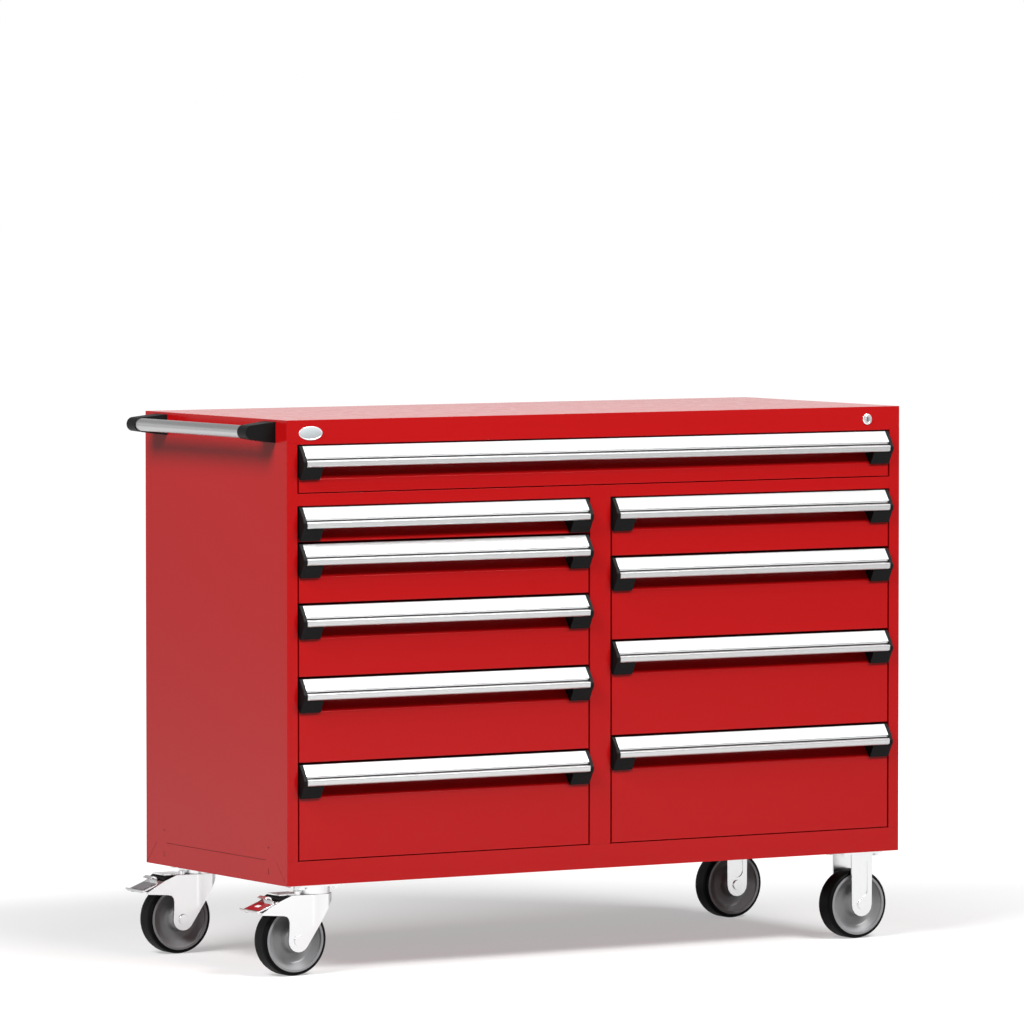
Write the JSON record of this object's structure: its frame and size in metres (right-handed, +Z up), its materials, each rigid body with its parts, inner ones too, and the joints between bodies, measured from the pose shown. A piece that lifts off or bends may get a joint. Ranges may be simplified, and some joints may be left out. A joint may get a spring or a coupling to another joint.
{
  "type": "rolling tool chest",
  "caption": "Long sheet-steel cabinet of full-extension drawers with bar pulls, a top lock, an end push bar, and rigid and braked swivel casters.",
  "frame": {"origin": "on the floor, at the middle of the whole object's footprint", "axes": "+Z up, +X along the length away from the push handle, drawers open towards -Y"},
  "size_m": [1.595, 0.632, 1.1557],
  "materials": {
    "red_paint": "smooth satin powder coat",
    "pull_aluminium": "satin anodised",
    "slide_zinc": "bright zinc plate",
    "tyre": "smooth black tread",
    "wheel_hub": "moulded grey",
    "caster_zinc": "bright zinc plate",
    "push_bar_steel": "satin",
    "black_plastic": "fine texture",
    "badge_aluminium": "satin",
    "lock_chrome": "bright"
  },
  "bodies": {
    "cabinet": {"left_side_panel": "red_paint", "right_side_panel": "red_paint", "back_panel": "red_paint", "base_pan": "red_paint", "top_cap": "red_paint", "crossrail": "red_paint", "centre_post": "red_paint", "cabinet_slides": "slide_zinc", "push_handle_bar": "push_bar_steel", "push_handle_brackets": "black_plastic", "badge_plate": "badge_aluminium", "lock_body": "lock_chrome", "caster_bolts": "caster_zinc", "swivel_plates": "caster_zinc", "rigid_forks": "caster_zinc", "rigid_axles": "caster_zinc"},
    "drawer_top": {"drawer_top_box": "red_paint", "drawer_top_handle": "pull_aluminium"},
    "drawer_top_carriage": {"drawer_top_carriage": "slide_zinc"},
    "drawer_left_1": {"drawer_left_1_box": "red_paint", "drawer_left_1_handle": "pull_aluminium"},
    "drawer_left_1_carriage": {"drawer_left_1_carriage": "slide_zinc"},
    "drawer_left_2": {"drawer_left_2_box": "red_paint", "drawer_left_2_handle": "pull_aluminium"},
    "drawer_left_2_carriage": {"drawer_left_2_carriage": "slide_zinc"},
    "drawer_left_3": {"drawer_left_3_box": "red_paint", "drawer_left_3_handle": "pull_aluminium"},
    "drawer_left_3_carriage": {"drawer_left_3_carriage": "slide_zinc"},
    "drawer_left_4": {"drawer_left_4_box": "red_paint", "drawer_left_4_handle": "pull_aluminium"},
    "drawer_left_4_carriage": {"drawer_left_4_carriage": "slide_zinc"},
    "drawer_left_5": {"drawer_left_5_box": "red_paint", "drawer_left_5_handle": "pull_aluminium"},
    "drawer_left_5_carriage": {"drawer_left_5_carriage": "slide_zinc"},
    "drawer_right_1": {"drawer_right_1_box": "red_paint", "drawer_right_1_handle": "pull_aluminium"},
    "drawer_right_1_carriage": {"drawer_right_1_carriage": "slide_zinc"},
    "drawer_right_2": {"drawer_right_2_box": "red_paint", "drawer_right_2_handle": "pull_aluminium"},
    "drawer_right_2_carriage": {"drawer_right_2_carriage": "slide_zinc"},
    "drawer_right_3": {"drawer_right_3_box": "red_paint", "drawer_right_3_handle": "pull_aluminium"},
    "drawer_right_3_carriage": {"drawer_right_3_carriage": "slide_zinc"},
    "drawer_right_4": {"drawer_right_4_box": "red_paint", "drawer_right_4_handle": "pull_aluminium"},
    "drawer_right_4_carriage": {"drawer_right_4_carriage": "slide_zinc"},
    "swivel_front": {"swivel_fork_front": "caster_zinc"},
    "brake_front": {"brake_pedal_front": "caster_zinc"},
    "swivel_rear": {"swivel_fork_rear": "caster_zinc"},
    "brake_rear": {"brake_pedal_rear": "caster_zinc"},
    "wheel_front_left": {"wheel_front_left_hub": "wheel_hub", "wheel_front_left_tyre": "tyre"},
    "wheel_rear_left": {"wheel_rear_left_hub": "wheel_hub", "wheel_rear_left_tyre": "tyre"},
    "wheel_front_right": {"wheel_front_right_hub": "wheel_hub", "wheel_front_right_tyre": "tyre"},
    "wheel_rear_right": {"wheel_rear_right_hub": "wheel_hub", "wheel_rear_right_tyre": "tyre"},
    "lock": {"lock_plug": "lock_chrome"}
  },
  "joints": [
    {"name": "drawer_top_slide", "type": "slide", "parent": "cabinet", "child": "drawer_top", "axis": [0, -1, 0], "range_m": [0, 0.54]},
    {"name": "drawer_top_carriage_slide", "type": "slide", "parent": "cabinet", "child": "drawer_top_carriage", "axis": [0, -1, 0], "range_m": [0, 0.27]},
    {"name": "drawer_left_1_slide", "type": "slide", "parent": "cabinet", "child": "drawer_left_1", "axis": [0, -1, 0], "range_m": [0, 0.54]},
    {"name": "drawer_left_1_carriage_slide", "type": "slide", "parent": "cabinet", "child": "drawer_left_1_carriage", "axis": [0, -1, 0], "range_m": [0, 0.27]},
    {"name": "drawer_left_2_slide", "type": "slide", "parent": "cabinet", "child": "drawer_left_2", "axis": [0, -1, 0], "range_m": [0, 0.54]},
    {"name": "drawer_left_2_carriage_slide", "type": "slide", "parent": "cabinet", "child": "drawer_left_2_carriage", "axis": [0, -1, 0], "range_m": [0, 0.27]},
    {"name": "drawer_left_3_slide", "type": "slide", "parent": "cabinet", "child": "drawer_left_3", "axis": [0, -1, 0], "range_m": [0, 0.54]},
    {"name": "drawer_left_3_carriage_slide", "type": "slide", "parent": "cabinet", "child": "drawer_left_3_carriage", "axis": [0, -1, 0], "range_m": [0, 0.27]},
    {"name": "drawer_left_4_slide", "type": "slide", "parent": "cabinet", "child": "drawer_left_4", "axis": [0, -1, 0], "range_m": [0, 0.54]},
    {"name": "drawer_left_4_carriage_slide", "type": "slide", "parent": "cabinet", "child": "drawer_left_4_carriage", "axis": [0, -1, 0], "range_m": [0, 0.27]},
    {"name": "drawer_left_5_slide", "type": "slide", "parent": "cabinet", "child": "drawer_left_5", "axis": [0, -1, 0], "range_m": [0, 0.54]},
    {"name": "drawer_left_5_carriage_slide", "type": "slide", "parent": "cabinet", "child": "drawer_left_5_carriage", "axis": [0, -1, 0], "range_m": [0, 0.27]},
    {"name": "drawer_right_1_slide", "type": "slide", "parent": "cabinet", "child": "drawer_right_1", "axis": [0, -1, 0], "range_m": [0, 0.54]},
    {"name": "drawer_right_1_carriage_slide", "type": "slide", "parent": "cabinet", "child": "drawer_right_1_carriage", "axis": [0, -1, 0], "range_m": [0, 0.27]},
    {"name": "drawer_right_2_slide", "type": "slide", "parent": "cabinet", "child": "drawer_right_2", "axis": [0, -1, 0], "range_m": [0, 0.54]},
    {"name": "drawer_right_2_carriage_slide", "type": "slide", "parent": "cabinet", "child": "drawer_right_2_carriage", "axis": [0, -1, 0], "range_m": [0, 0.27]},
    {"name": "drawer_right_3_slide", "type": "slide", "parent": "cabinet", "child": "drawer_right_3", "axis": [0, -1, 0], "range_m": [0, 0.54]},
    {"name": "drawer_right_3_carriage_slide", "type": "slide", "parent": "cabinet", "child": "drawer_right_3_carriage", "axis": [0, -1, 0], "range_m": [0, 0.27]},
    {"name": "drawer_right_4_slide", "type": "slide", "parent": "cabinet", "child": "drawer_right_4", "axis": [0, -1, 0], "range_m": [0, 0.54]},
    {"name": "drawer_right_4_carriage_slide", "type": "slide", "parent": "cabinet", "child": "drawer_right_4_carriage", "axis": [0, -1, 0], "range_m": [0, 0.27]},
    {"name": "swivel_front_turn", "type": "hinge", "parent": "cabinet", "child": "swivel_front", "pos_m": [-0.6385, -0.24055, 0.17], "axis": [0, 0, 1], "continuous": true},
    {"name": "brake_front_press", "type": "hinge", "parent": "swivel_front", "child": "brake_front", "pos_m": [-0.7225, -0.24055, 0.1545], "axis": [0, -1, 0], "range_deg": [0, 12]},
    {"name": "swivel_rear_turn", "type": "hinge", "parent": "cabinet", "child": "swivel_rear", "pos_m": [-0.6385, 0.25645, 0.17], "axis": [0, 0, 1], "continuous": true},
    {"name": "brake_rear_press", "type": "hinge", "parent": "swivel_rear", "child": "brake_rear", "pos_m": [-0.7225, 0.25645, 0.1545], "axis": [0, -1, 0], "range_deg": [0, 12]},
    {"name": "wheel_front_left_roll", "type": "hinge", "parent": "swivel_front", "child": "wheel_front_left", "pos_m": [-0.69, -0.24055, 0.075], "axis": [0, 1, 0], "continuous": true},
    {"name": "wheel_rear_left_roll", "type": "hinge", "parent": "swivel_rear", "child": "wheel_rear_left", "pos_m": [-0.69, 0.25645, 0.075], "axis": [0, 1, 0], "continuous": true},
    {"name": "wheel_front_right_roll", "type": "hinge", "parent": "cabinet", "child": "wheel_front_right", "pos_m": [0.7135, -0.24055, 0.075], "axis": [0, 1, 0], "continuous": true},
    {"name": "wheel_rear_right_roll", "type": "hinge", "parent": "cabinet", "child": "wheel_rear_right", "pos_m": [0.7135, 0.25645, 0.075], "axis": [0, 1, 0], "continuous": true},
    {"name": "lock_turn", "type": "hinge", "parent": "cabinet", "child": "lock", "pos_m": [0.7135, -0.29355, 1.1287], "axis": [0, -1, 0], "range_deg": [0, 90]}
  ],
  "couplings": [
    {"joint": "drawer_top_carriage_slide", "follows": "drawer_top_slide", "ratio": 0.5},
    {"joint": "drawer_left_1_carriage_slide", "follows": "drawer_left_1_slide", "ratio": 0.5},
    {"joint": "drawer_left_2_carriage_slide", "follows": "drawer_left_2_slide", "ratio": 0.5},
    {"joint": "drawer_left_3_carriage_slide", "follows": "drawer_left_3_slide", "ratio": 0.5},
    {"joint": "drawer_left_4_carriage_slide", "follows": "drawer_left_4_slide", "ratio": 0.5},
    {"joint": "drawer_left_5_carriage_slide", "follows": "drawer_left_5_slide", "ratio": 0.5},
    {"joint": "drawer_right_1_carriage_slide", "follows": "drawer_right_1_slide", "ratio": 0.5},
    {"joint": "drawer_right_2_carriage_slide", "follows": "drawer_right_2_slide", "ratio": 0.5},
    {"joint": "drawer_right_3_carriage_slide", "follows": "drawer_right_3_slide", "ratio": 0.5},
    {"joint": "drawer_right_4_carriage_slide", "follows": "drawer_right_4_slide", "ratio": 0.5}
  ]
}
